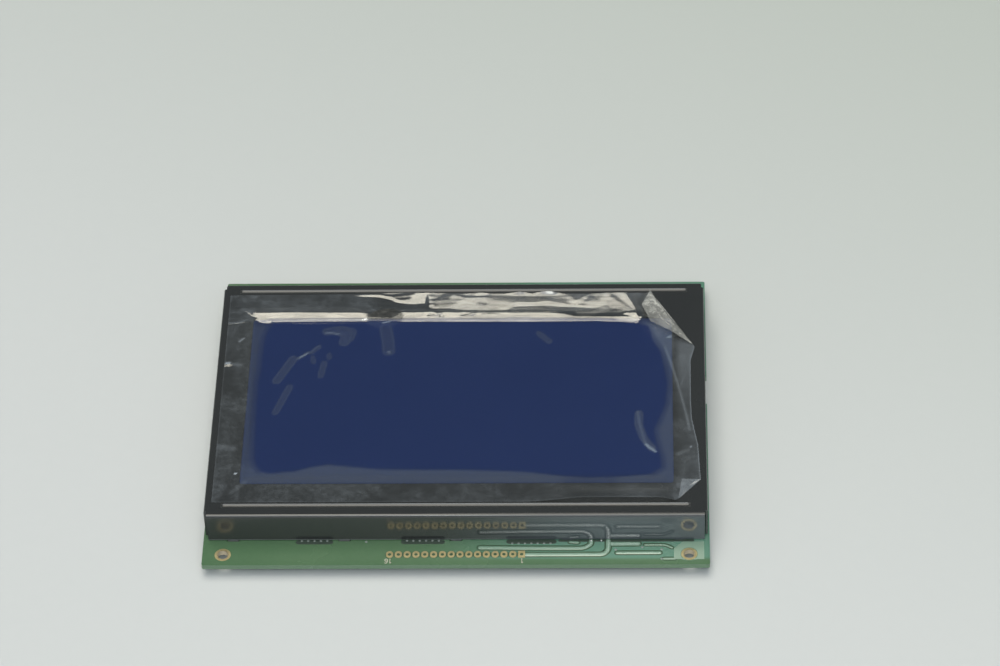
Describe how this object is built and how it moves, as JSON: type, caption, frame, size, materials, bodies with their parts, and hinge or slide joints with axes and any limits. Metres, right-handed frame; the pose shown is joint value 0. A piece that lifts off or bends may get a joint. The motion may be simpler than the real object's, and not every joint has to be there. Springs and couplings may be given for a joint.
{
  "type": "graphic lcd module",
  "caption": "Graphic LCD module: blue display cell and edge-lit backlight clamped by a folded black bezel to a green driver board, still under its protective film.",
  "frame": {"origin": "middle of the bounding box at its base, where the undersides of the driver packages stand", "axes": "+X along the long side to the right of a viewer at the header edge, +Y away from the header edge, +Z out of the display"},
  "size_m": [0.1466, 0.116, 0.0179],
  "materials": {
    "solder_mask": "glossy green solder mask on a glass-fibre board",
    "gold_plating": "gold plating",
    "black_bezel": "glossy black paint on folded sheet steel",
    "polarizer": "smooth dark blue",
    "display_glass": "clear",
    "seal_epoxy": "cured resin",
    "contact_rubber": "layered conductive rubber",
    "diffuser": "matt white sheet",
    "clear_acrylic": "clear moulded acrylic",
    "reflector": "silvered sheet",
    "white_plastic": "moulded white plastic",
    "led_package": "white package with yellow lens",
    "tinned_lead": "tinned",
    "package_mould": "black moulding compound",
    "resistor_body": "glazed body with tinned ends",
    "capacitor_body": "fired ceramic with tinned ends",
    "clear_film": "clear glossy film"
  },
  "bodies": {
    "root": {"pcb": "solder_mask", "header_pads": "gold_plating", "mount_hole_rings": "gold_plating", "bezel": "black_bezel", "front_polarizer": "polarizer", "front_glass": "display_glass", "cell_seal": "seal_epoxy", "fill_plug": "seal_epoxy", "rear_glass": "display_glass", "rear_polarizer": "polarizer", "contact_strip_front": "contact_rubber", "contact_strip_back": "contact_rubber", "contact_strip_side": "contact_rubber", "diffuser_sheet": "diffuser", "light_guide": "clear_acrylic", "reflector_sheet": "reflector", "backlight_tray": "white_plastic", "led_board": "solder_mask", "leds": "led_package", "backlight_pins": "tinned_lead", "column_drivers": "package_mould", "column_driver_leads": "tinned_lead", "row_drivers": "package_mould", "row_driver_leads": "tinned_lead", "bias_amplifier": "package_mould", "bias_amplifier_leads": "tinned_lead", "chip_resistors": "resistor_body", "chip_capacitors": "capacitor_body", "protective_film": "clear_film"}
  },
  "joints": []
}
